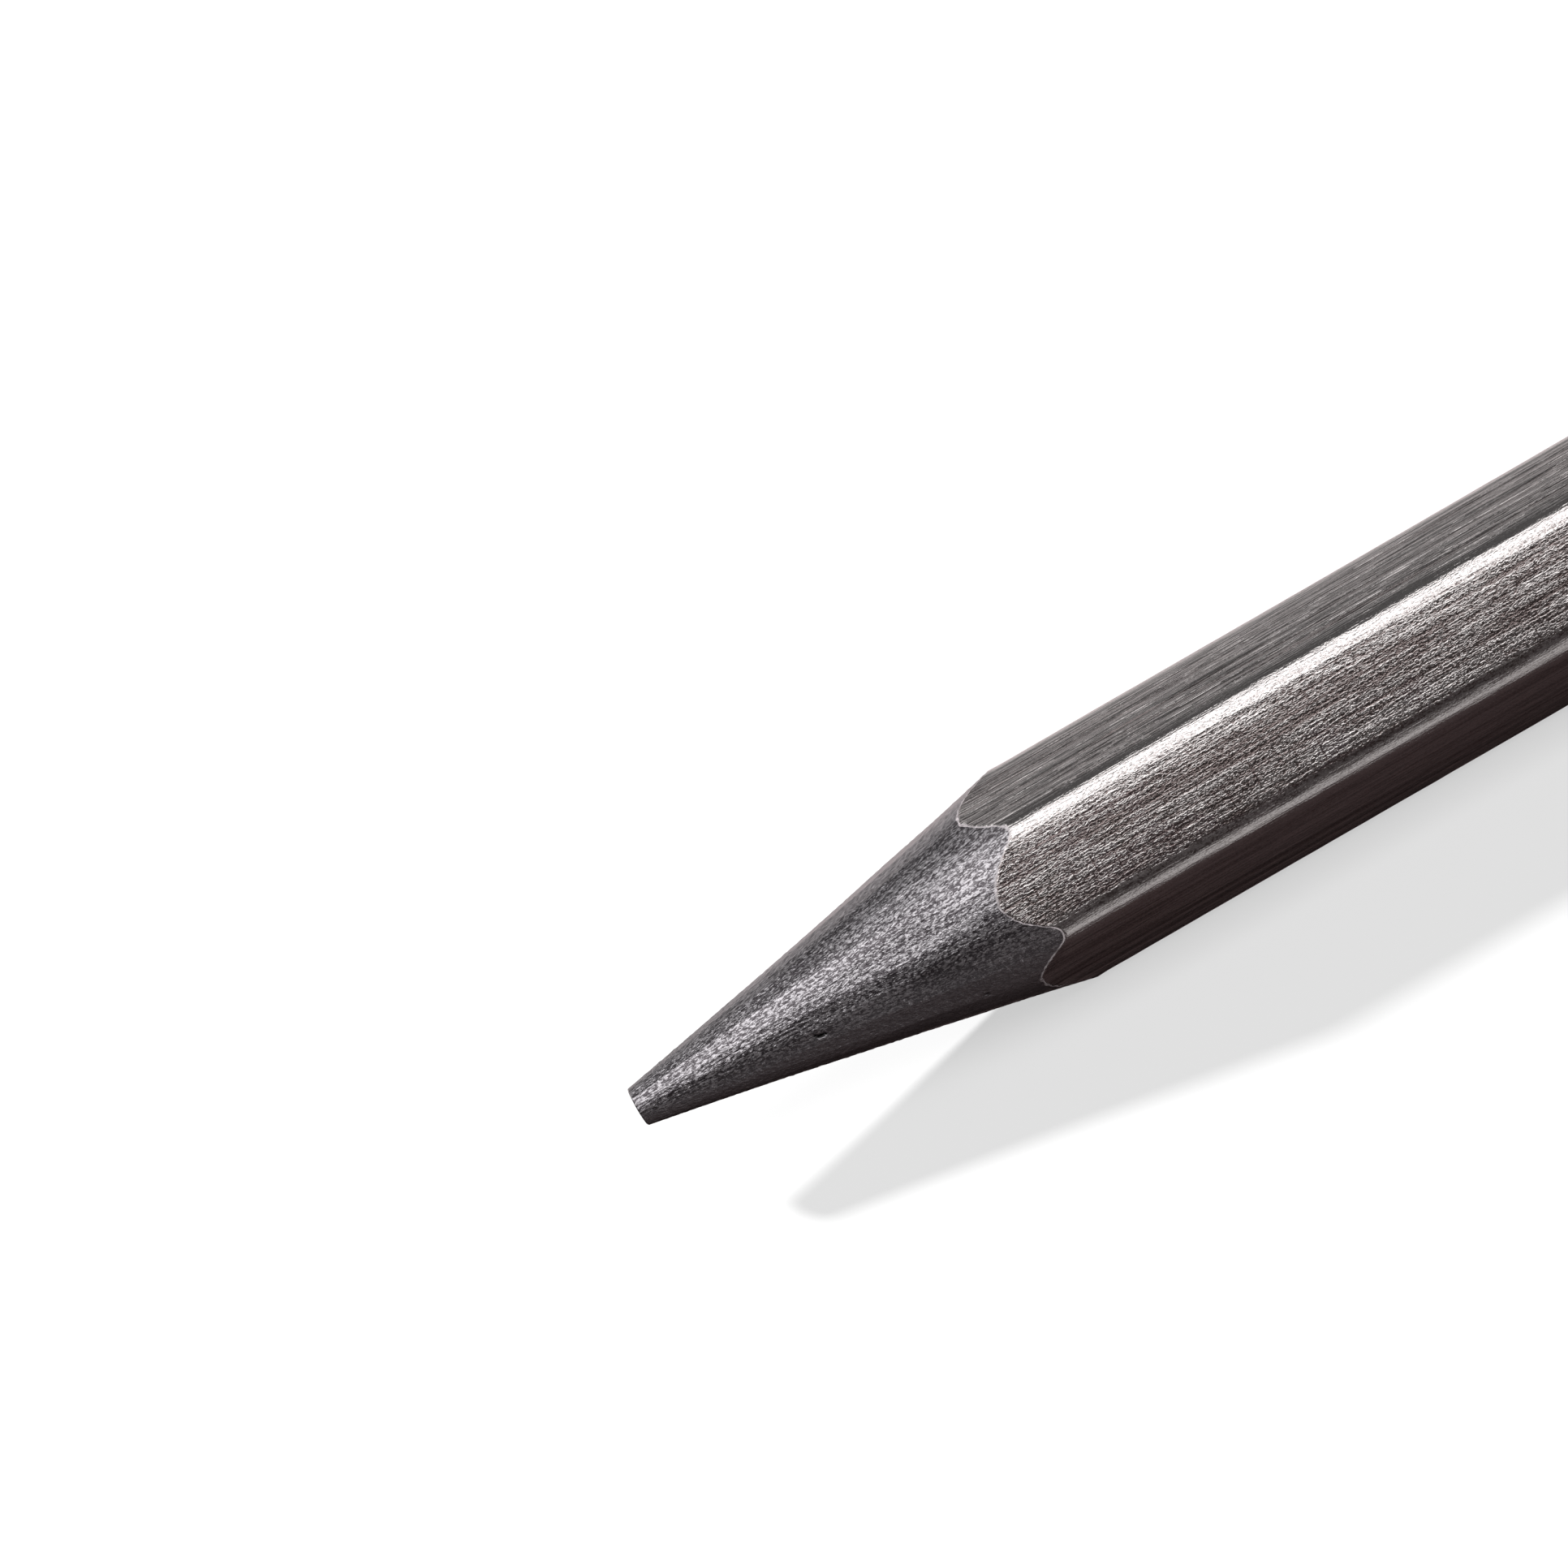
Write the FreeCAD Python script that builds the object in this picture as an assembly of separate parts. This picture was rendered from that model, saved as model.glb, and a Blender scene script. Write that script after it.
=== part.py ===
import FreeCAD, Part
import math
import os

# Woodless graphite pencil: a solid stick of graphite and clay with six flats,
# coated with an undercoat and a lacquer, and sharpened to a blunt cone.
# Millimetres, +Z up. The pencil lies on one flat with its tip towards -X.
# The origin is on the surface it lies on, under the middle of its length.

# Whole pencil, measured over the lacquer
OVERALL_LENGTH = 175.0
ACROSS_FLATS = 7.2
LONG_EDGE_RADIUS = 1.4

# Coatings on the six sides, from the outside in
LACQUER_THICKNESS = 0.02
PRIMER_THICKNESS = 0.03

# Sharpened cone: radius = tip radius + slope * s + flare * s^2, s mm behind the tip
TIP_RADIUS = 0.69
TIP_CROWN = 0.1
CONE_SLOPE = 0.181
CONE_FLARE = 0.00166
CUTTER_LENGTH = 19.0

# Rear end: a shallow dome sealed with dipped lacquer
END_DOME_RADIUS = 14.0
END_DIP_THICKNESS = 0.15
DOME_TOOL_RADIUS = 5.0

APOTHEM = ACROSS_FLATS / 2
TIP_X = -OVERALL_LENGTH / 2
REAR_X = OVERALL_LENGTH / 2
CORE_DEPTH = LACQUER_THICKNESS + PRIMER_THICKNESS
FLAT_COUNT = 6
HALF_FLAT_ANGLE = math.pi / FLAT_COUNT
PRISM_OVERRUN = 1.0


def section_point(distance, angle):
    """Point of the cross-section at the tip plane, seen from the axis."""
    y = distance * math.cos(angle)
    z = APOTHEM + distance * math.sin(angle)
    return FreeCAD.Vector(TIP_X - PRISM_OVERRUN, y, z)


def section_wire(depth):
    """Rounded hexagon, set in from the lacquer's surface by depth."""
    edge_radius = LONG_EDGE_RADIUS - depth
    centre_distance = (APOTHEM - LONG_EDGE_RADIUS) / math.cos(HALF_FLAT_ANGLE)
    edges = []
    last_end = None
    first_start = None
    for index in range(FLAT_COUNT):
        corner_angle = index * 2 * HALF_FLAT_ANGLE
        centre = section_point(centre_distance, corner_angle)
        axis_point = section_point(0.0, 0.0)
        start_way = section_point(edge_radius, corner_angle - HALF_FLAT_ANGLE) - axis_point
        middle_way = section_point(edge_radius, corner_angle) - axis_point
        end_way = section_point(edge_radius, corner_angle + HALF_FLAT_ANGLE) - axis_point
        start = centre + start_way
        end = centre + end_way
        if last_end is None:
            first_start = start
        else:
            edges.append(Part.LineSegment(last_end, start).toShape())
        edges.append(Part.Arc(start, centre + middle_way, end).toShape())
        last_end = end
    edges.append(Part.LineSegment(last_end, first_start).toShape())
    return Part.Wire(edges)


def prism(depth):
    """Full-length bar whose sides are depth under the lacquer's surface."""
    length = OVERALL_LENGTH + 2 * PRISM_OVERRUN
    return Part.Face(section_wire(depth)).extrude(FreeCAD.Vector(length, 0, 0))


def profile_point(x, radius):
    """Point of a turned profile, in the plane y = 0."""
    return FreeCAD.Vector(x, 0, APOTHEM + radius)


def turned(edges):
    """Solid turned about the pencil's axis from a closed profile."""
    profile = Part.Face(Part.Wire(edges))
    return profile.revolve(profile_point(0, 0), FreeCAD.Vector(1, 0, 0), 360)


def cone_point(behind_tip):
    """Point of the sharpened cone's profile, a distance behind the tip edge."""
    radius = TIP_RADIUS + CONE_SLOPE * behind_tip + CONE_FLARE * behind_tip ** 2
    return profile_point(TIP_X + behind_tip, radius)


def dome_arc(depth, from_axis):
    """Rear dome's profile, depth under the dip's surface, and its two ends."""
    sphere_radius = END_DOME_RADIUS - depth
    centre_x = REAR_X - END_DOME_RADIUS
    rim_angle = math.asin(DOME_TOOL_RADIUS / sphere_radius)

    def at(angle):
        return profile_point(
            centre_x + sphere_radius * math.cos(angle), sphere_radius * math.sin(angle)
        )

    pole = at(0.0)
    middle = at(rim_angle / 2)
    rim = at(rim_angle)
    if from_axis:
        return Part.Arc(pole, middle, rim).toShape(), pole, rim
    return Part.Arc(rim, middle, pole).toShape(), pole, rim


def sharpened_envelope():
    """Turned outline: crowned tip, flared cone, and the dome under the dip."""
    tip_centre = profile_point(TIP_X, 0)
    tip_middle = profile_point(TIP_X + TIP_CROWN / 4, TIP_RADIUS / 2)
    tip_rim = cone_point(TIP_CROWN)
    cone_end = cone_point(CUTTER_LENGTH)
    dome, pole, rim = dome_arc(END_DIP_THICKNESS, from_axis=False)
    return turned([
        Part.Arc(tip_centre, tip_middle, tip_rim).toShape(),
        Part.Arc(tip_rim, cone_point(CUTTER_LENGTH / 2), cone_end).toShape(),
        Part.LineSegment(cone_end, rim).toShape(),
        dome,
        Part.LineSegment(pole, tip_centre).toShape(),
    ])


def graphite_core():
    """The pressed stick itself, with its cone and tip."""
    return prism(CORE_DEPTH).common(sharpened_envelope())


def primer_coat():
    """Undercoat on the six sides, cut back by sharpening."""
    film = prism(LACQUER_THICKNESS).cut(prism(CORE_DEPTH))
    return film.common(sharpened_envelope())


def lacquer_coat():
    """Lacquer over the undercoat, cut back in scallops by sharpening."""
    film = prism(0.0).cut(prism(LACQUER_THICKNESS))
    return film.common(sharpened_envelope())


def end_dip():
    """Thin domed cap of lacquer that seals the rear end."""
    outer, outer_pole, outer_rim = dome_arc(0.0, from_axis=True)
    inner, inner_pole, inner_rim = dome_arc(END_DIP_THICKNESS, from_axis=False)
    shell = turned([
        outer,
        Part.LineSegment(outer_rim, inner_rim).toShape(),
        inner,
        Part.LineSegment(inner_pole, outer_pole).toShape(),
    ])
    return shell.common(prism(0.0))


def export(name, shape):
    """Write one closed solid and print its size for checking by eye."""
    solid = shape.Solids[0]
    box = solid.BoundBox
    print(name, len(shape.Solids), solid.isValid(), round(solid.Volume, 2),
          [round(v, 3) for v in (box.XMin, box.XMax, box.YMin, box.YMax, box.ZMin, box.ZMax)])
    solid.exportStep("parts/" + name + ".step")


os.makedirs("parts", exist_ok=True)
export("graphite_core", graphite_core())
export("primer_coat", primer_coat())
export("lacquer_coat", lacquer_coat())
export("end_dip", end_dip())
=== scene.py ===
import math
import random

import bpy
import numpy as np
from mathutils import Matrix, Vector, noise


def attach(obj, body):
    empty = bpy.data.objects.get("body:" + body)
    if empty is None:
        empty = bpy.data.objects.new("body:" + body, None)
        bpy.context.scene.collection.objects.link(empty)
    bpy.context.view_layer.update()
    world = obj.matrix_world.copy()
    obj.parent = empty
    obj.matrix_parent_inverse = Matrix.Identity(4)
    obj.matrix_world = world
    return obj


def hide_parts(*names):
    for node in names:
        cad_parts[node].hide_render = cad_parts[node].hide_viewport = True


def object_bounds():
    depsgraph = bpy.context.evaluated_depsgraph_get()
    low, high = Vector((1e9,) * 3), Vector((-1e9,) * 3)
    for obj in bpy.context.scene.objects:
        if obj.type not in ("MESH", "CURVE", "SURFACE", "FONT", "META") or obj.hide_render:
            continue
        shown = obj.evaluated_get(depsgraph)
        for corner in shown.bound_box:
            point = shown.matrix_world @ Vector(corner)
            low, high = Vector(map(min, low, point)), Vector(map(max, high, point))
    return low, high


# Woodless graphite pencil lying on one flat, tip towards -X. Lengths in this
# script are millimetres until a mesh is made; MM turns them into metres.
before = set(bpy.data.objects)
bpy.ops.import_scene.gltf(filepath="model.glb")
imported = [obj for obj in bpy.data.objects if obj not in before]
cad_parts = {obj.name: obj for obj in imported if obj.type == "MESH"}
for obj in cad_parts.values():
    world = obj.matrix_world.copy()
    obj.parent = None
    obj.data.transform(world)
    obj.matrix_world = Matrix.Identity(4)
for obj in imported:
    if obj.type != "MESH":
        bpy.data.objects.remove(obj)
cad_low, cad_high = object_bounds()
MM = 0.001

# ---------------------------------------------------------------- sizes
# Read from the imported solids
TIP_X = cad_low.x / MM
REAR_X = cad_high.x / MM
APOTHEM = (cad_high.z - cad_low.z) / 2 / MM

# Undersides of the paint films: as thin as they look at the sharpening cut, and
# deep enough under the body to leave room for the lacquer's waves
LACQUER_DEPTH = 0.055
CORE_DEPTH = 0.065
LACQUER_DEPTH_AT_CUT = 0.012
CORE_DEPTH_AT_CUT = 0.030

# Length behind the cut over which the films reach their depth under the body
SETTLE = 0.45

FLATS = 6
HALF_FLAT = math.pi / FLATS

# The drawn stick's flats are slightly crowned, and its long edges a little tighter for it
CROWN = math.radians(3.6)
EDGE_RADIUS = 1.05

# About the widest turn from a long edge at which a line from the axis still meets the
# circle of that edge
EDGE_TURN_LIMIT = 0.37

# Sharpened cone: radius = tip radius + slope * s + flare * s^2, s mm behind the tip.
# The cutter stood a little off the axis, towards the lower front.
TIP_RADIUS = 0.68
TIP_CROWN = 0.1
TIP_WEAR = 0.07
CONE_SLOPE = 0.1795
CONE_FLARE = 0.00158
CUT_OFFSET = 0.038
CUT_OFFSET_ANGLE = math.radians(215.0)
CUT_OFFSET_FULL = 9.0

# Where the search for the cut line starts, and how often it halves
CONE_SEARCH = (8.0, 20.0)
HALVINGS = 40

# Rear end
DOME_RADIUS = 14.0
DIP_THICKNESS = 0.15
DIP_RIM_ROUND = 0.12

# Mesh density. Fine rows run from FINE_START behind the tip over FINE_LENGTH, and the
# last row of the cone stops RIM_ROW short of the cut.
FLAT_COLUMNS = 36
EDGE_COLUMNS = 18
FINE_ROW = 0.14
FINE_START = 15.0
FINE_LENGTH = 24.0
COARSE_ROW = 1.1
CONE_COLUMNS = 360
CONE_ROWS = 200
RIM_ROW = 0.004
BAR_ROWS = 6

# Shares of the radius, or of a quarter turn, at which round ends have their rings
TIP_FACE_RINGS = (0.2, 0.4, 0.6, 0.8, 0.92, 1.0)
TIP_RIM_RINGS = (0.3, 0.6, 0.85)
STICK_DOME_RINGS = (0.75, 0.5, 0.25)
DIP_UNDER_RINGS = (0.3, 0.6, 0.85, 1.0)
DIP_RIM_RINGS = (0.3, 0.6, 0.85, 1.0)
DIP_TOP_RINGS = (0.9, 0.75, 0.6, 0.45, 0.3, 0.15)

# Roughness of the worn tip's face: height, and cells per mm
TIP_GRAIN = 0.012
TIP_GRAIN_SCALE = 3
TIP_GRAIN_PLACE = 5.0

# Waves in the drawn-on lacquer: height, cells per mm along the stick, cells per mm
# across it, and the noise's shift
LONG_WAVE = (0.0015, 0.05, 1.1, (0, 0, 7))
STREAK_WAVE = (0.007, 0.10, 3.4, (31, 0, 0))
RIDGE_WAVE = (0.006, 1.3, 5.5, (0, 13, 0))

# How steeply the ridges fade out at the end of the fine rows, and the rows over
# which all waves fade in at the cut and out at the rear
RIDGE_FADE = 6.0
FRONT_FADE_ROWS = 3
REAR_FADE_ROWS = 2

# Knife strokes that leave the cone's long facets: rows of them along the cone.
# Each runs out with the square of the distance from its middle.
STROKE_MIDDLES = (1.0, 4.4, 7.8, 11.4, 15.2)
STROKES_PER_ROW = 13
STROKE_SEED = 2534
STROKE_PHASE = 0.491
STROKE_WANDER = 0.28
STROKE_SCATTER = 1.0
STROKE_RUNOUT = 0.0020
STROKE_LIFT_SPREAD = 0.02
STROKE_REACH = 1.2
FACET_BLEND = 0.004

# The facets' share of their full depth at the rear of the cone, and where it is reached
REAR_SHARE = 0.15
REAR_OF_CONE = (11.5, 13.7)

# One deeper last cut near the paint: elevation from the front, middle behind the
# tip, lift (below zero is deeper)
DEEP_CUT = (math.radians(36.0), 12.5, -0.055)

# Fine ripples along the cuts: how many waves, their height, range of cycles per mm,
# and the most whole cycles round the cone
RIPPLES = 14
RIPPLE_HEIGHT = 0.0016
RIPPLE_RATES = (1.0, 5.0)
RIPPLE_ROUNDS = 60

# Chips and pits in the graphite: behind the tip, elevation round the cone in
# degrees from the front, length, width, depth
PITS = (
    (6.85, 2.0, 0.20, 0.065, 0.20),
    (6.62, 4.5, 0.09, 0.05, 0.15),
    (10.9, 12.0, 0.10, 0.05, 0.04),
    (9.2, 62.0, 0.12, 0.05, 0.04),
    (4.1, 55.0, 0.10, 0.04, 0.03),
    (12.4, -22.0, 0.14, 0.06, 0.05),
    (2.9, -4.0, 0.09, 0.04, 0.03),
)

# A chip's slope towards the rear and towards the tip, and the depth at which its painted shade
# is full black
PIT_REAR_SLOPE = 2.2
PIT_FRONT_SLOPE = 0.8
PIT_SHADE_FULL_AT = 0.05


# ---------------------------------------------------------------- outlines
def crowned_hexagon():
    """Radius of the flats' crown, and distance of the edge circles from the axis."""
    slant = math.tan(HALF_FLAT)
    lean = math.sin(CROWN) - slant * math.cos(CROWN)
    flat_radius = (slant * APOTHEM + EDGE_RADIUS * lean) / (lean + slant)
    across = (flat_radius - EDGE_RADIUS) * math.sin(CROWN)
    return flat_radius, across / math.sin(HALF_FLAT)


FLAT_RADIUS, EDGE_CENTRE = crowned_hexagon()
FLAT_CENTRE = APOTHEM - FLAT_RADIUS


def section(depth):
    """Points and outward normals of the rounded hexagon, depth under the lacquer."""
    points = []
    normals = []

    def arc(centre, radius, facing, half_turn, steps):
        for step in range(steps):
            turn = facing + half_turn * (2 * step / steps - 1)
            way = np.array([math.cos(turn), math.sin(turn)])
            points.append(centre + way * (radius - depth))
            normals.append(way)

    for flat in range(FLATS):
        facing = math.pi / 2 + flat * 2 * HALF_FLAT
        corner = facing + HALF_FLAT
        toward_flat = np.array([math.cos(facing), math.sin(facing)])
        toward_corner = np.array([math.cos(corner), math.sin(corner)])
        arc(toward_flat * FLAT_CENTRE, FLAT_RADIUS, facing, CROWN, FLAT_COLUMNS)
        arc(toward_corner * EDGE_CENTRE, EDGE_RADIUS, corner, HALF_FLAT - CROWN, EDGE_COLUMNS)
    return np.array(points), np.array(normals)


def circle_reach(centre, radius, turn):
    """Distance from the axis to the far side of a circle set off the axis."""
    inside = np.maximum(radius ** 2 - (centre * np.sin(turn)) ** 2, 0.0)
    return centre * np.cos(turn) + np.sqrt(inside)


def hexagon_radius(angle, depth):
    """Distance from the axis to the rounded hexagon at each angle."""
    local = np.abs((angle - math.pi / 2 + HALF_FLAT) % (2 * HALF_FLAT) - HALF_FLAT)
    flat_part = circle_reach(FLAT_CENTRE, FLAT_RADIUS - depth, local)
    edge_turn = np.minimum(HALF_FLAT - local, EDGE_TURN_LIMIT)
    round_part = circle_reach(EDGE_CENTRE, EDGE_RADIUS - depth, edge_turn)
    join_x = FLAT_CENTRE + (FLAT_RADIUS - depth) * math.cos(CROWN)
    join_y = (FLAT_RADIUS - depth) * math.sin(CROWN)
    return np.where(local < math.atan2(join_y, join_x), flat_part, round_part)


def make_strokes():
    """Angle, middle and lift of each cut, in staggered rows along the cone."""
    draw = random.Random(STROKE_SEED)
    pitch = 2 * math.pi / STROKES_PER_ROW
    strokes = []
    for row, row_middle in enumerate(STROKE_MIDDLES):
        for index in range(STROKES_PER_ROW):
            stagger = row * STROKE_PHASE + draw.uniform(-STROKE_WANDER, STROKE_WANDER)
            angle = (index + stagger) * pitch
            middle = row_middle + draw.uniform(-STROKE_SCATTER, STROKE_SCATTER)
            lift = draw.uniform(0.0, STROKE_LIFT_SPREAD)
            strokes.append((angle, middle, lift))
    elevation, middle, lift = DEEP_CUT
    strokes.append((math.pi - elevation, middle, lift))
    return strokes


CUTS = make_strokes()


def wrapped(turn):
    """The same turn between minus half and plus half a circle."""
    return (turn + math.pi) % (2 * math.pi) - math.pi


def make_ripples():
    """Waves the blade left: cycles per mm, whole cycles round the cone, phase."""
    draw = random.Random(STROKE_SEED + 1)
    waves = []
    for _ in range(RIPPLES):
        rate = draw.uniform(*RIPPLE_RATES)
        rounds = draw.randint(-RIPPLE_ROUNDS, RIPPLE_ROUNDS)
        waves.append((rate, rounds, draw.uniform(0, 2 * math.pi)))
    return waves


WAVES = make_ripples()


def cone_radius(behind_tip, angle):
    """Radius of the faceted cone, for arrays of places behind the tip and angles."""
    plain = TIP_RADIUS + CONE_SLOPE * behind_tip + CONE_FLARE * behind_tip ** 2
    start, end = REAR_OF_CONE
    rear = np.clip((behind_tip - start) / (end - start), 0.0, 1.0)
    facet_share = 1 + (REAR_SHARE - 1) * rear
    blend = FACET_BLEND * plain / APOTHEM
    total = np.zeros(np.broadcast(behind_tip, angle).shape)
    for cut_angle, middle, lift in CUTS:
        turn = np.clip(wrapped(angle - cut_angle), -STROKE_REACH, STROKE_REACH)
        rise = lift + STROKE_RUNOUT * (behind_tip - middle) ** 2
        height = plain * (1 / np.cos(turn) - 1) + rise * plain / APOTHEM
        total += np.exp(-height / blend)
    offset = CUT_OFFSET * np.clip(behind_tip / CUT_OFFSET_FULL, 0.0, 1.0)
    ripple = sum(np.sin(2 * math.pi * rate * behind_tip + rounds * angle + phase)
                 for rate, rounds, phase in WAVES)
    ripple = RIPPLE_HEIGHT * ripple * np.clip(behind_tip, 0.0, 1.0)
    facets = -facet_share * blend * np.log(total)
    return plain + facets + offset * np.cos(angle - CUT_OFFSET_ANGLE) + ripple


def pit_depth(behind_tip, angle, radius):
    """Depth of the chips and pits taken out of the cone."""
    depth = np.zeros(angle.shape)
    for middle, elevation, length, width, deepest in PITS:
        along = (behind_tip - middle) / length
        across = wrapped(angle - (math.pi - math.radians(elevation))) * radius / width
        # a chip is steep on its rear side and runs out towards the tip
        slope = np.where(along > 0, PIT_REAR_SLOPE, PIT_FRONT_SLOPE)
        reach = (slope * along) ** 2 + across ** 2
        depth = depth + deepest * np.exp(-reach ** 2)
    return depth


def cut_line(radius, angle):
    """Distance behind the tip at which the cone reaches a radius."""
    near = np.full(radius.shape, CONE_SEARCH[0])
    far = np.full(radius.shape, CONE_SEARCH[1])
    for _ in range(HALVINGS):
        middle = (near + far) / 2
        inside = cone_radius(middle, angle) < radius
        near = np.where(inside, middle, near)
        far = np.where(inside, far, middle)
    return (near + far) / 2


def dome_x(radius, thickness):
    """Rear dome's place along the axis, thickness under the dip's surface."""
    sphere = DOME_RADIUS - thickness
    return REAR_X - DOME_RADIUS + np.sqrt(sphere ** 2 - radius ** 2)


# ---------------------------------------------------------------- meshes
def ring_faces(first, second, count):
    """Quads between two closed rings given by their first vertex numbers."""
    faces = []
    for column in range(count):
        after = (column + 1) % count
        faces.append((first + column, first + after, second + after, second + column))
    return faces


def build(name, rings, closed_tube=False, start_point=None, end_point=None, sharp=()):
    """Object from rings of points (x, y, z from the axis), joined in order.

    Rings listed in sharp are crisp edges, the rest are smooth."""
    count = len(rings[0])
    vertices = [point for ring in rings for point in ring]
    faces = []
    for index in range(len(rings) - 1):
        faces += ring_faces(index * count, (index + 1) * count, count)
    if closed_tube:
        faces += ring_faces((len(rings) - 1) * count, 0, count)
    if start_point is not None:
        vertices.append(start_point)
        middle = len(vertices) - 1
        for column in range(count):
            faces.append((middle, (column + 1) % count, column))
    if end_point is not None:
        vertices.append(end_point)
        middle = len(vertices) - 1
        last = (len(rings) - 1) * count
        for column in range(count):
            faces.append((middle, last + column, last + (column + 1) % count))
    placed = [(x * MM, y * MM, (z + APOTHEM) * MM) for x, y, z in vertices]
    mesh = bpy.data.meshes.new(name)
    mesh.from_pydata(placed, [], faces)
    mesh.validate()
    mesh.update()
    mesh.shade_smooth()
    ends = np.empty(len(mesh.edges) * 2, dtype=np.int32)
    mesh.edges.foreach_get("vertices", ends)
    ring_of = ends.reshape(-1, 2) // count
    along_ring = ring_of[:, 0] == ring_of[:, 1]
    crisp = along_ring & np.isin(ring_of[:, 0], [ring % len(rings) for ring in sharp])
    mesh.attributes.new("sharp_edge", "BOOLEAN", "EDGE").data.foreach_set("value", crisp)
    piece = bpy.data.objects.new(name, mesh)
    bpy.context.scene.collection.objects.link(piece)
    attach(piece, "root")
    return piece


def ring_at(x, points):
    """Ring of points with one x for each column."""
    x = np.broadcast_to(x, len(points))
    return np.column_stack([x, points])


def polar_ring(x, radius, angle):
    """Ring from radii and angles about the axis."""
    return np.column_stack([
        np.broadcast_to(x, angle.shape), radius * np.cos(angle), radius * np.sin(angle)
    ])


def noise_at(x, y, z):
    """Smooth noise between about -1 and 1."""
    return noise.noise(Vector((x, y, z)))


def dent(x, y, z, wave, share=1.0):
    """Depth, as a height of zero or below, of one kind of wave at a place."""
    height, along, across, shift = wave
    value = noise_at(x * along + shift[0], y * across + shift[1], z * across + shift[2])
    return height * share * (value - 1)


def relief(x, point, fine):
    """Height of the drawn-on lacquer's waves, in mm, zero or below."""
    return (dent(x, *point, LONG_WAVE) + dent(x, *point, STREAK_WAVE)
            + dent(x, *point, RIDGE_WAVE, fine))


def cut_ring(depth):
    """Ring where the sharpening cuts the stick's outline at a depth."""
    points, _ = section(depth)
    angle = np.arctan2(points[:, 1], points[:, 0])
    return ring_at(cut_line(np.hypot(*points.T), angle) + TIP_X, points)


def moved_ring(ring, depth, length):
    """The ring moved back along the stick and onto the outline at another depth."""
    points, _ = section(depth)
    return ring_at(ring[:, 0] + length, points)


def dome_ring(depth):
    """Ring where the rear dome meets the stick's outline at a depth."""
    points, _ = section(depth)
    return ring_at(dome_x(np.hypot(*points.T), DIP_THICKNESS), points)


def lacquer():
    """Outer film: fine rows over the front, coarser to the rear, open at both ends."""
    outer, normals = section(0.0)
    front = cut_ring(0.0)
    rear = dome_ring(0.0)
    fine_end = TIP_X + FINE_START + FINE_LENGTH
    rings = []

    def add_row(x, fine, share):
        depth = np.array([relief(xi, p, fine) for xi, p in zip(x, outer)]) * share
        rings.append(ring_at(x, outer + normals * depth[:, None]))

    fine_rows = int(FINE_LENGTH / FINE_ROW)
    for row in range(fine_rows):
        share = row / fine_rows
        x = front[:, 0] + (fine_end - front[:, 0]) * share
        add_row(x, min(1.0, RIDGE_FADE * (1.0 - share)), min(1.0, row / FRONT_FADE_ROWS))
    coarse_rows = int((REAR_X - fine_end) / COARSE_ROW)
    for row in range(coarse_rows + 1):
        share = row / coarse_rows
        x = fine_end + (rear[:, 0] - fine_end) * share
        add_row(x, 0.0, min(1.0, (coarse_rows - row) / REAR_FADE_ROWS))
    inner_front = cut_ring(LACQUER_DEPTH_AT_CUT)
    rings.append(dome_ring(LACQUER_DEPTH))
    rings.append(moved_ring(inner_front, LACQUER_DEPTH, SETTLE))
    rings.append(inner_front)
    piece = build("lacquer_film", rings, closed_tube=True, sharp=(0, -4, -3, -1))
    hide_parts("lacquer_coat")
    return piece


def primer():
    """Undercoat film, seen only where the sharpening cut through it."""
    outer_front = cut_ring(LACQUER_DEPTH_AT_CUT)
    inner_front = cut_ring(CORE_DEPTH_AT_CUT)
    rings = [
        outer_front,
        moved_ring(outer_front, LACQUER_DEPTH, SETTLE),
        dome_ring(LACQUER_DEPTH),
        dome_ring(CORE_DEPTH),
        moved_ring(inner_front, CORE_DEPTH, SETTLE),
        inner_front,
    ]
    piece = build("undercoat_film", rings, closed_tube=True, sharp=(0, 2, 3, 5))
    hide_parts("primer_coat")
    return piece


def worn_tip(angle):
    """Rings of the blunt, crowned end and its rubbed rim, from the middle outwards."""
    rim = cone_radius(np.full(angle.shape, TIP_CROWN), angle)
    flat = rim - TIP_WEAR
    rings = []
    for share in TIP_FACE_RINGS:
        radius = flat * share
        x = TIP_X + (TIP_CROWN - TIP_WEAR) * share ** 2
        out = TIP_GRAIN_SCALE * radius
        grain = [TIP_GRAIN * noise_at(reach * math.cos(a), reach * math.sin(a), TIP_GRAIN_PLACE)
                 for reach, a in zip(out, angle)]
        rings.append(polar_ring(x + np.maximum(grain, 0.0), radius, angle))
    for turn in TIP_RIM_RINGS:
        swing = turn * math.pi / 2
        radius = flat + TIP_WEAR * math.sin(swing)
        x = TIP_X + TIP_CROWN - TIP_WEAR * math.cos(swing)
        rings.append(polar_ring(x, radius, angle))
    return rings


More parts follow.
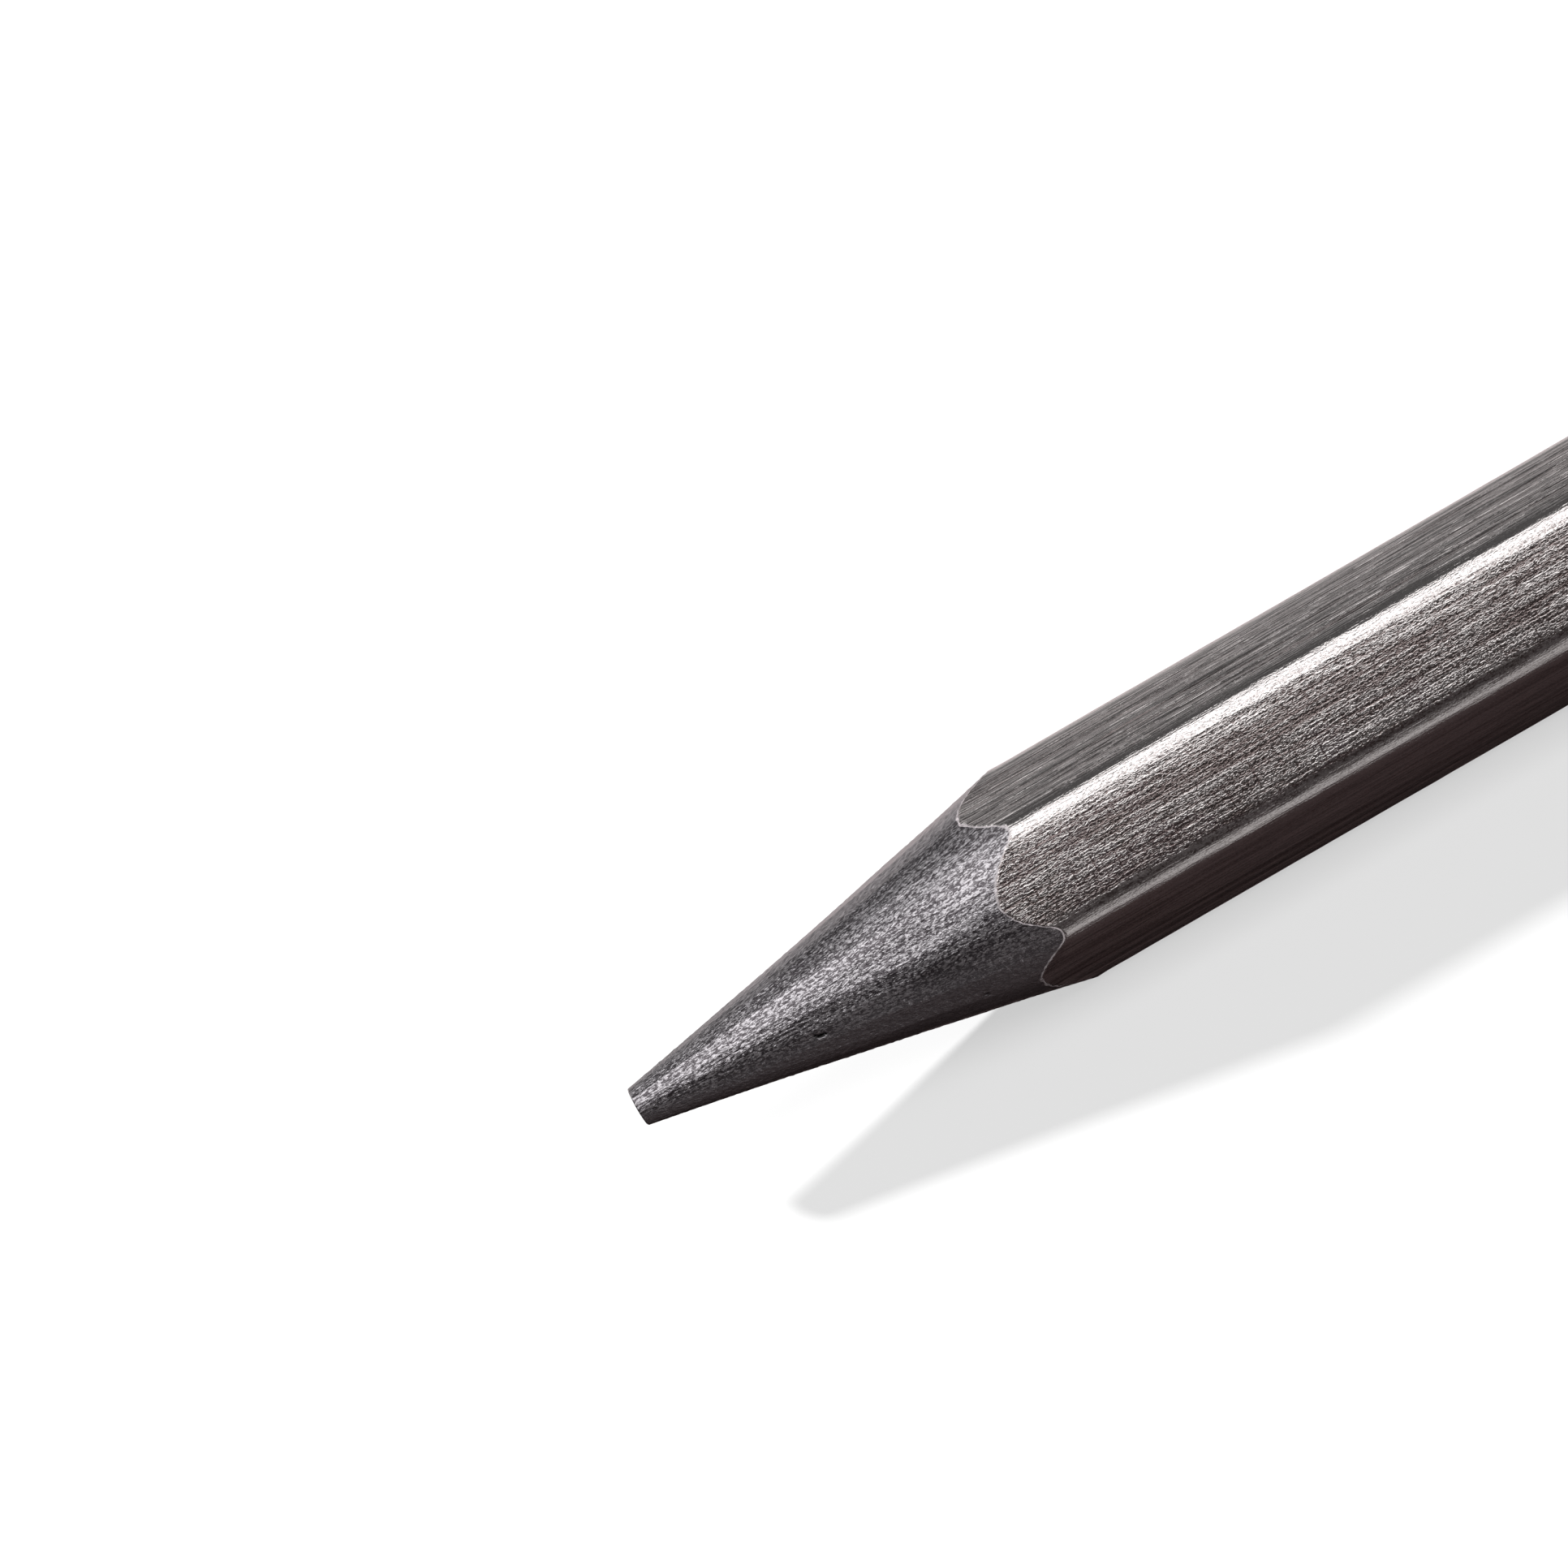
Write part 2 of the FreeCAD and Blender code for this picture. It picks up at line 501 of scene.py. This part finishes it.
def graphite():
    """The stick: worn tip, faceted cone, and the plain bar under the films."""
    angle = np.linspace(0, 2 * math.pi, CONE_COLUMNS, endpoint=False)
    cut = hexagon_radius(angle, CORE_DEPTH_AT_CUT)
    bar = hexagon_radius(angle, CORE_DEPTH)
    front = cut_line(cut, angle)
    rings = worn_tip(angle)
    cone_start = len(rings) * CONE_COLUMNS
    pit_rows = []
    for row in range(CONE_ROWS + 1):
        behind = TIP_CROWN + (front - RIM_ROW - TIP_CROWN) * row / CONE_ROWS
        radius = cone_radius(behind, angle)
        depth = pit_depth(behind, angle, radius)
        pit_rows.append(depth)
        rings.append(polar_ring(TIP_X + behind, radius - depth, angle))
    rings.append(polar_ring(TIP_X + front, cut, angle))
    bar_start = len(rings) - 1
    rings.append(polar_ring(TIP_X + front + SETTLE, bar, angle))
    rear = dome_x(bar, DIP_THICKNESS)
    for row in range(1, BAR_ROWS + 1):
        share = row / BAR_ROWS
        rings.append(polar_ring(TIP_X + front + (rear - TIP_X - front) * share, bar, angle))
    bar_end = len(rings) - 1
    for share in STICK_DOME_RINGS:
        rings.append(polar_ring(dome_x(bar * share, DIP_THICKNESS), bar * share, angle))
    piece = build(
        "graphite_stick", rings,
        start_point=(TIP_X, 0.0, 0.0), end_point=(REAR_X - DIP_THICKNESS, 0.0, 0.0),
        sharp=(bar_start, bar_end),
    )
    # painted shade in the chips, from none to full by their depth
    shade = np.zeros(len(piece.data.vertices), dtype=np.float32)
    pits = np.concatenate(pit_rows) / PIT_SHADE_FULL_AT
    shade[cone_start:cone_start + len(pits)] = np.clip(pits, 0.0, 1.0)
    piece.data.attributes.new("pit_shade", "FLOAT", "POINT").data.foreach_set("value", shade)
    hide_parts("graphite_core")
    return piece


def dip():
    """Domed cap of dipped lacquer with a softly rounded rim."""
    outer, _ = section(0.0)
    radius = np.hypot(*outer.T)
    rings = []
    for share in DIP_UNDER_RINGS:
        rings.append(ring_at(dome_x(radius * share, DIP_THICKNESS), outer * share))
    for turn in DIP_RIM_RINGS:
        swing = turn * math.pi / 2
        share = 1 - DIP_RIM_ROUND * (1 - math.cos(swing)) / APOTHEM
        edge = dome_x(radius, DIP_THICKNESS)
        top = dome_x(radius * share, 0.0)
        x = edge + (top - edge) * math.sin(swing)
        rings.append(ring_at(x, outer * share))
    for share in DIP_TOP_RINGS:
        rings.append(ring_at(dome_x(radius * share, 0.0), outer * share))
    piece = build(
        "rear_dip", rings,
        start_point=(REAR_X - DIP_THICKNESS, 0.0, 0.0), end_point=(REAR_X, 0.0, 0.0),
    )
    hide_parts("end_dip")
    return piece


# ---------------------------------------------------------------- materials
# Sockets of the Mix node that carry its share and its colours
MIX_SHARE, MIX_DARK, MIX_LIGHT, MIX_COLOUR = 0, 6, 7, 2


class Nodes:
    """Short way to write a node tree."""

    def __init__(self, tree):
        self.tree = tree
        tree.nodes.clear()

    def add(self, kind, inputs=None, **settings):
        """Shader node with its inputs linked or set, and its own settings."""
        node = self.tree.nodes.new("ShaderNode" + kind)
        for key, value in settings.items():
            setattr(node, key, value)
        for key, value in (inputs or {}).items():
            if isinstance(value, bpy.types.NodeSocket):
                self.tree.links.new(value, node.inputs[key])
            else:
                node.inputs[key].default_value = value
        return node

    def math(self, operation, a, b=0.0, clamp=False):
        return self.add("Math", {0: a, 1: b}, operation=operation, use_clamp=clamp).outputs[0]

    def mapped(self, scale):
        """Place on the object in millimetres, stretched by scale."""
        place = self.add("TexCoord").outputs["Object"]
        size = tuple(s / MM for s in scale)
        return self.add("Mapping", {"Vector": place, "Scale": size}).outputs["Vector"]

    def noise(self, scale, detail=3.0, rough=0.55, distortion=0.0, place=None):
        """Noise whose cells are 1/scale mm along X, Y and Z."""
        return self.add(
            "TexNoise",
            {"Vector": place or self.mapped(scale), "Scale": 1.0, "Detail": detail,
             "Roughness": rough, "Distortion": distortion},
        ).outputs["Fac"]

    def ramp(self, value, low, high, to_low=0.0, to_high=1.0):
        """Value from low to high turned into to_low to to_high, and held beyond."""
        return self.add(
            "MapRange",
            {"Value": value, "From Min": low, "From Max": high,
             "To Min": to_low, "To Max": to_high},
        ).outputs["Result"]

    def wave(self, noise_value, size):
        """Noise as a height about zero, so that masks over it leave no step."""
        return self.math("MULTIPLY", self.math("SUBTRACT", noise_value, 0.5), size)

    def mix(self, share, dark, light):
        """Colour between dark and light."""
        inputs = {MIX_SHARE: share, MIX_DARK: dark, MIX_LIGHT: light}
        return self.add("Mix", inputs, data_type="RGBA").outputs[MIX_COLOUR]

    def way_out(self):
        """Place along the stick, and direction from the axis out to the surface."""
        place = self.add("TexCoord").outputs["Object"]
        parts = self.add("SeparateXYZ", {0: place}).outputs
        height = self.math("SUBTRACT", parts["Z"], APOTHEM * MM)
        across = self.add("CombineXYZ", {1: parts["Y"], 2: height}).outputs[0]
        way = self.add("VectorMath", {0: across}, operation="NORMALIZE").outputs[0]
        return parts["X"], way

    def along_cone(self, scale):
        """Place on the cone in millimetres, along the axis and round it, not out from it."""
        along, way = self.way_out()
        ways = self.add("SeparateXYZ", {0: way}).outputs
        length = self.math("MULTIPLY", along, scale[0] / MM)
        side = self.math("MULTIPLY", ways["Y"], scale[1] * APOTHEM)
        rise = self.math("MULTIPLY", ways["Z"], scale[2] * APOTHEM)
        return self.add("CombineXYZ", {0: length, 1: side, 2: rise}).outputs[0]

    def facing(self, elevation, half_width, fade):
        """1 on the side at this elevation from the front, and on the side opposite."""
        elevation = math.radians(elevation)
        half_width = math.radians(half_width)
        fade = math.radians(fade)
        _, way = self.way_out()
        aim = (0.0, -math.cos(elevation), math.sin(elevation))
        dot = self.add("VectorMath", {0: way, 1: aim}, operation="DOT_PRODUCT").outputs["Value"]
        near = self.math("ABSOLUTE", dot)
        return self.ramp(near, math.cos(half_width + fade), math.cos(half_width))

    def bump(self, height, distance):
        """Normal bent by a height of 0 to 1 times a distance in mm."""
        inputs = {"Height": height, "Distance": distance * MM, "Strength": 1.0}
        return self.add("Bump", inputs).outputs["Normal"]

    def surface(self, inputs):
        """Finish the tree with one principled surface."""
        shader = self.add("BsdfPrincipled", inputs)
        self.add("OutputMaterial", {"Surface": shader.outputs[0]})


def new_material(name):
    material = bpy.data.materials.new(name)
    material.use_nodes = True
    return material, Nodes(material.node_tree)


# Noise patterns: cells per mm along X, Y and Z, then detail, roughness and distortion
WRINKLE = ((6.4, 15.0, 15.0), 1.0, 0.5, 0.9)
ROW = ((0.5, 8.5, 8.5), 1.0, 0.5)
STREAK = ((0.06, 4.2, 4.2), 3.0, 0.7, 0.12)
FINE_STREAK = ((1.0, 13.0, 13.0), 1.5, 0.6)
SEAM = ((0.05, 6.0, 6.0), 2.0, 0.6, 0.3)
GRAIN = ((14.0, 20.0, 20.0), 0.0)
HAIRLINE = ((15.0, 0.7, 0.7), 0.0)
CUT_GRAIN = ((9.0, 16.0, 16.0), 1.0, 0.6, 0.8)
FLAKE = ((5.0, 17.0, 17.0), 2.0, 0.6, 0.5)
UNDERCOAT_MOTTLE = ((5.0, 5.0, 5.0), 3.0, 0.65)
PEEL = ((2.5, 2.5, 2.5), 2.0)
SPECK = ((12.0, 12.0, 12.0), 2.0)
FLOOR_MOTTLE = ((0.05, 0.05, 0.05), 2.0)

# Lines along the cut: cells per mm along the axis, and round it in Y and Z
CUT_LINES = (0.22, 6.0, 6.0)
CUT_LINES_DETAIL = 2.0
CUT_LINES_ROUGH = 0.6

# Sides that patterns lie on, in degrees: elevation from the front, half the width, and
# the fade beyond it. Each also holds on the side opposite.
WRINKLED_SIDE = (34.5, 23.5, 6.0)
# Side where the wrinkles' hollows get painted shade
HOLLOW_SHADE_SIDE = (29.0, 22.0, 8.0)
SCRATCHED_SIDE = (27.0, 17.0, 4.0)
LEVEL_SIDE = (90.0, 19.0, 5.0)
LOWER_SIDE = (-30.0, 19.0, 5.0)
# Side of the cone that the overhead light falls on, where the flakes get painted sparkle
CONE_LIT_SIDE = (50.0, 32.0, 28.0)

# Noise values and the shares of light colour they become: from, to, and at each end
# The wrinkle and row tones set the painted shade in the lacquer's hollows
WRINKLE_SHADE_TONE = (0.38, 0.52)
ROW_SHADE_TONE = (0.36, 0.52, -0.6, 0.2)
STREAK_TONE = (0.38, 0.52, 0.6, 0.0)
SEAM_TONE = (0.34, 0.41, 0.8, 0.0)
GRAIN_TONE = (0.3, 0.7, -0.2, 0.2)
HAIRLINE_TONE = (0.745, 0.79)
FLAKE_TONE = (0.46, 0.58)
LINES_TONE = (0.4, 0.6, -0.3, 0.25)
# Flake contrast off and on the cone's lit side; the raise there is painted sparkle
FLAKE_CONTRAST = (0.3, 1.1)
MOTTLE_TONE = (0.3, 0.7)
SPECK_TONE = (0.4, 0.7)
PEEL_ROUGHNESS = (0.3, 0.7, 0.2, 0.3)

# Heights of the patterns in mm. Streaks have one height off the level flats, and
# another on them.
WRINKLE_HEIGHT = 0.0205
ROW_HEIGHT = 0.017
STREAK_HEIGHTS = (0.020, 0.100)
FINE_STREAK_HEIGHTS = (0.0075, 0.020)
GRAIN_HEIGHT = 0.0055
SCRATCH_DEPTH = 0.004
CUT_GRAIN_HEIGHT = 0.018
CUT_LINES_HEIGHT = 0.014
UNDERCOAT_HEIGHT = 0.01
PEEL_HEIGHT = 0.02

# Colours
LACQUER_DARK = (0.070, 0.055, 0.053, 1)
LACQUER_LIGHT = (0.25, 0.236, 0.233, 1)
GRAPHITE_DARK = (0.030, 0.026, 0.029, 1)
GRAPHITE_LIGHT = (0.205, 0.195, 0.204, 1)
# Painted shade in the cone's chips
PAINTED_PIT_SHADE = (0.004, 0.003, 0.003, 1)
UNDERCOAT_DARK = (0.07, 0.062, 0.064, 1)
UNDERCOAT_LIGHT = (0.33, 0.30, 0.31, 1)
DIP_DARK = (0.03, 0.027, 0.026, 1)
DIP_LIGHT = (0.07, 0.065, 0.063, 1)
FLOOR_DARK = (0.07, 0.07, 0.07, 1)
FLOOR_LIGHT = (0.073, 0.073, 0.073, 1)
WHITE = (1.0, 1.0, 1.0, 1.0)
FLOOR_GLOW = 0.58


def lacquer_material():
    """Dark metallic brown-grey lacquer, drawn on along the stick, two flats wrinkled, with
    painted shade in the hollows on the broad flats.
    """
    material, n = new_material("graphite_grey_lacquer")
    wrinkled = n.facing(*WRINKLED_SIDE)
    hollow_shade_side = n.facing(*HOLLOW_SHADE_SIDE)
    scratched = n.facing(*SCRATCHED_SIDE)
    level = n.facing(*LEVEL_SIDE)
    lower = n.facing(*LOWER_SIDE)
    wrinkle = n.noise(*WRINKLE)
    row = n.noise(*ROW)
    streak = n.noise(*STREAK)
    fine_streak = n.noise(*FINE_STREAK)
    seam = n.noise(*SEAM)
    grain = n.noise(*GRAIN)
    scratch = n.math("MULTIPLY", n.ramp(n.noise(*HAIRLINE), *HAIRLINE_TONE), scratched)

    # light colour: painted shade in the wrinkles' hollows and rows on the broad flats; dark in
    # the lanes between streaks and in the scratches
    hollow_shade = n.math("ADD", n.ramp(wrinkle, *WRINKLE_SHADE_TONE), n.ramp(row, *ROW_SHADE_TONE), clamp=True)
    light = n.math("ADD", hollow_shade, n.math("SUBTRACT", 1.0, hollow_shade_side), clamp=True)
    lane = n.math("ADD", n.ramp(streak, *STREAK_TONE), n.ramp(seam, *SEAM_TONE))
    flats_only = n.math("ADD", n.math("ADD", level, lower), hollow_shade_side, clamp=True)
    light = n.math("SUBTRACT", light, n.math("MULTIPLY", lane, flats_only), clamp=True)
    light = n.math("ADD", light, n.ramp(grain, *GRAIN_TONE))
    light = n.math("SUBTRACT", light, scratch, clamp=True)

    waves = n.math("ADD", n.wave(wrinkle, WRINKLE_HEIGHT), n.wave(row, ROW_HEIGHT))
    height = n.math("MULTIPLY", waves, wrinkled)
    for pattern, heights in ((streak, STREAK_HEIGHTS), (fine_streak, FINE_STREAK_HEIGHTS)):
        size = n.ramp(level, 0.0, 1.0, *heights)
        height = n.math("ADD", height, n.wave(pattern, size))
    height = n.math("ADD", height, n.math("MULTIPLY", grain, GRAIN_HEIGHT))
    height = n.math("SUBTRACT", height, n.math("MULTIPLY", scratch, SCRATCH_DEPTH))
    n.surface({
        "Base Color": n.mix(light, LACQUER_DARK, LACQUER_LIGHT),
        "Metallic": 0.9, "Roughness": 0.17, "Normal": n.bump(height, 1.0),
    })
    return material


def graphite_material():
    """Cut graphite: dark metallic grain with flakes, painted sparkle where they face the
    overhead light, lines along the cut, and painted shade in the chips.
    """
    material, n = new_material("cut_graphite")
    grain = n.noise(*CUT_GRAIN)
    flake = n.noise(*FLAKE)
    lines = n.noise(None, CUT_LINES_DETAIL, CUT_LINES_ROUGH, place=n.along_cone(CUT_LINES))
    light = n.math("ADD", n.ramp(flake, *FLAKE_TONE), n.ramp(lines, *LINES_TONE), clamp=True)
    # painted sparkle: the flakes stand out more on the side the overhead light falls on
    contrast = n.ramp(n.facing(*CONE_LIT_SIDE), 0.0, 1.0, *FLAKE_CONTRAST)
    light = n.math("ADD", n.wave(light, contrast), 0.5, clamp=True)
    colour = n.mix(light, GRAPHITE_DARK, GRAPHITE_LIGHT)
    # the chips take black painted shade by their pit_shade share
    pit = n.add("Attribute", attribute_name="pit_shade").outputs["Fac"]
    grain_height = n.math("MULTIPLY", grain, CUT_GRAIN_HEIGHT)
    height = n.math("ADD", grain_height, n.math("MULTIPLY", lines, CUT_LINES_HEIGHT))
    n.surface({
        "Base Color": n.mix(pit, colour, PAINTED_PIT_SHADE),
        "Metallic": 0.76, "Roughness": 0.28, "Normal": n.bump(height, 1.0),
    })
    return material


def primer_material():
    """Pale pinkish undercoat, chalky."""
    material, n = new_material("pale_undercoat")
    mottle = n.noise(*UNDERCOAT_MOTTLE)
    n.surface({
        "Base Color": n.mix(n.ramp(mottle, *MOTTLE_TONE), UNDERCOAT_DARK, UNDERCOAT_LIGHT),
        "Roughness": 0.5, "Normal": n.bump(mottle, UNDERCOAT_HEIGHT),
    })
    return material


def dip_material():
    """Thick dipped lacquer with a slight orange peel."""
    material, n = new_material("dipped_end_lacquer")
    peel = n.noise(*PEEL)
    n.surface({
        "Base Color": n.mix(n.ramp(n.noise(*SPECK), *SPECK_TONE), DIP_DARK, DIP_LIGHT),
        "Metallic": 0.3, "Roughness": n.ramp(peel, *PEEL_ROUGHNESS),
        "Coat Weight": 0.4, "Coat Roughness": 0.12, "Normal": n.bump(peel, PEEL_HEIGHT),
    })
    return material


def floor_material():
    """Evenly lit pale surface: its own glow is the room's light on it, less the sun's."""
    material, n = new_material("pale_floor")
    n.surface({
        "Base Color": n.mix(n.noise(*FLOOR_MOTTLE), FLOOR_DARK, FLOOR_LIGHT),
        "Roughness": 1.0, "Specular IOR Level": 0.0,
        "Emission Color": WHITE, "Emission Strength": FLOOR_GLOW,
    })
    return material


# ---------------------------------------------------------------- the pencil
lacquer().data.materials.append(lacquer_material())
primer().data.materials.append(primer_material())
graphite().data.materials.append(graphite_material())
dip().data.materials.append(dip_material())

# ---------------------------------------------------------------- the studio
# Camera: where it stands round the pencil, the width of its view, and where the tip is
# in it
VIEW_ELEVATION = math.radians(32.0)
VIEW_SWING = math.radians(4.0)
VIEW_ROLL = math.radians(30.01)
FRAME_WIDTH = 53.0
TIP_LEFT_OF_CENTRE = 4.973
TIP_BELOW_CENTRE = 10.948
LENS = 600.0
SENSOR = 36.0
CLIP_METRES = (0.01, 100.0)

FLOOR_HALF_METRES = 12.0

# Sun that lights the floor only: strength, width in degrees, and where it stands
SUN_STRENGTH = 33.0
SUN_WIDTH = 6.0
SUN_FROM = (-1.0, 1.5, 1.0)

# What the camera sees behind the floor, just over white
BACKDROP = 1.05

# The studio's walls, by angle in degrees from the front horizon over the top: angle,
# brightness, and how much redder than grey. A long soft box overhead, a dark gap, a
# pale rear wall and a dim warm floor.
STUDIO = (
    (0, 0.055, 0.3), (24, 0.07, 0.3), (33, 0.14, 0.2), (39, 1.0, 0.0), (45, 5.4, 0.0),
    (92, 5.4, 0.0), (100, 0.6, 0.0), (104, 0.02, 0.0), (139, 0.02, 0.0), (143, 0.36, 0.0),
    (148, 0.52, 0.0), (156, 0.55, 0.0), (163, 0.90, 0.03), (185, 1.2, 0.1), (203, 0.60, 0.3),
    (222, 0.10, 0.4), (238, 0.012, 0.5), (258, 0.012, 0.5), (264, 0.045, 0.5),
    (274, 0.085, 0.5), (300, 0.08, 0.5), (345, 0.055, 0.4),
)

# The room is dimmer towards its two ends, in line with the pencil
ROOM_END = (0.75, 0.97)
END_SHARE = 0.12

# Bright sheet of paper in front, below the pencil and not towards its tip
PAPER_GLOW = 1.5
PAPER_RISE = (298, 323)
PAPER_FALL = (326, 350)
PAPER_SIDE = (-0.30, -0.12, 0.0, 1.0)

# Soft fill overhead and behind, towards the tip, which the cone mirrors
FILL_GLOW = 1.0
FILL_RISE = (96, 110)
FILL_FALL = (190, 212)
FILL_SIDE = (-0.46, -0.34, 1.0, 0.0)


def add_camera():
    """Long lens, rolled so that the pencil runs up to the right from its tip."""
    back = Vector((
        math.sin(VIEW_SWING),
        -math.cos(VIEW_SWING) * math.cos(VIEW_ELEVATION),
        math.cos(VIEW_SWING) * math.sin(VIEW_ELEVATION),
    ))
    along = (Vector((1, 0, 0)) - back * back.x).normalized()
    across = back.cross(along)
    right = along * math.cos(VIEW_ROLL) - across * math.sin(VIEW_ROLL)
    up = along * math.sin(VIEW_ROLL) + across * math.cos(VIEW_ROLL)
    tip = Vector((TIP_X, 0, APOTHEM))
    target = tip + right * TIP_LEFT_OF_CENTRE + up * TIP_BELOW_CENTRE
    distance = LENS * FRAME_WIDTH / SENSOR
    data = bpy.data.cameras.new("camera")
    data.lens = LENS
    data.sensor_width = SENSOR
    data.clip_start, data.clip_end = CLIP_METRES
    camera = bpy.data.objects.new("camera", data)
    turn = Matrix((right, up, back)).transposed().to_4x4()
    camera.matrix_world = Matrix.Translation((target + back * distance) * MM) @ turn
    bpy.context.scene.collection.objects.link(camera)
    bpy.context.scene.camera = camera


def add_shadow_sun(floor):
    """Low light from the rear left that falls on the floor only, for the soft shadow."""
    data = bpy.data.lights.new("shadow_sun", "SUN")
    data.energy = SUN_STRENGTH
    data.angle = math.radians(SUN_WIDTH)
    light = bpy.data.objects.new("shadow_sun", data)
    light.rotation_mode = "QUATERNION"
    light.rotation_quaternion = Vector(SUN_FROM).to_track_quat("Z", "Y")
    bpy.context.scene.collection.objects.link(light)
    lit = bpy.data.collections.new("lit_by_shadow_sun")
    lit.objects.link(floor)
    light.light_linking.receiver_collection = lit


def glowing_patch(n, share, along, rise, fall, side, glow):
    """Brightness of a light that lies between two angles, on one side along the stick."""
    rising = n.ramp(share, rise[0] / 360, rise[1] / 360)
    falling = n.ramp(share, fall[0] / 360, fall[1] / 360, 1.0, 0.0)
    lit = n.math("MULTIPLY", n.math("MULTIPLY", rising, falling), n.ramp(along, *side))
    return n.math("MULTIPLY", lit, glow)


def add_world():
    """Studio surroundings for light and reflections, plain and pale to the camera."""
    world = bpy.data.worlds.new("studio")
    world.use_nodes = True
    bpy.context.scene.world = world
    n = Nodes(world.node_tree)
    way = n.add("TexCoord").outputs["Generated"]
    parts = n.add("SeparateXYZ", {0: way}).outputs
    turn = n.math("ARCTAN2", parts["Z"], n.math("MULTIPLY", parts["Y"], -1.0))
    share = n.math("FRACT", n.math("DIVIDE", turn, 2 * math.pi))
    ramp = n.add("ValToRGB", {"Fac": share})
    stops = ramp.color_ramp.elements
    for index, (degrees, level, warmth) in enumerate(STUDIO):
        if index < 2:
            stop = stops[index]
            stop.position = degrees / 360
        else:
            stop = stops.new(degrees / 360)
        stop.color = (level * (1 + warmth), level, level, 1)
    along = parts["X"]
    paper = glowing_patch(n, share, along, PAPER_RISE, PAPER_FALL, PAPER_SIDE, PAPER_GLOW)
    fill = glowing_patch(n, share, along, FILL_RISE, FILL_FALL, FILL_SIDE, FILL_GLOW)
    glow = n.math("ADD", paper, fill)
    toward_end = n.math("ABSOLUTE", along)
    strength = n.ramp(toward_end, *ROOM_END, 1.0, END_SHARE)
    walls = n.add("Background", {"Color": ramp.outputs["Color"], "Strength": strength})
    lights = n.add("Background", {"Color": WHITE, "Strength": glow})
    surroundings = n.add("AddShader", {0: walls.outputs[0], 1: lights.outputs[0]})
    plain = n.add("Background", {"Color": (BACKDROP,) * 3 + (1,), "Strength": 1.0})
    seen = n.add("LightPath").outputs["Is Camera Ray"]
    both = n.add("MixShader", {0: seen, 1: surroundings.outputs[0], 2: plain.outputs[0]})
    n.add("OutputWorld", {"Surface": both.outputs[0]})


def add_floor():
    """Wide pale floor under the pencil, which neither lights it nor is mirrored in it."""
    half = FLOOR_HALF_METRES
    mesh = bpy.data.meshes.new("floor")
    corners = [(-half, -half, 0), (half, -half, 0), (half, half, 0), (-half, half, 0)]
    mesh.from_pydata(corners, [], [(0, 1, 2, 3)])
    mesh.materials.append(floor_material())
    floor = bpy.data.objects.new("floor", mesh)
    floor.visible_glossy = False
    floor.visible_diffuse = False
    bpy.context.scene.collection.objects.link(floor)
    return floor


add_camera()
add_world()
add_shadow_sun(add_floor())
bpy.context.scene.view_settings.view_transform = "Standard"
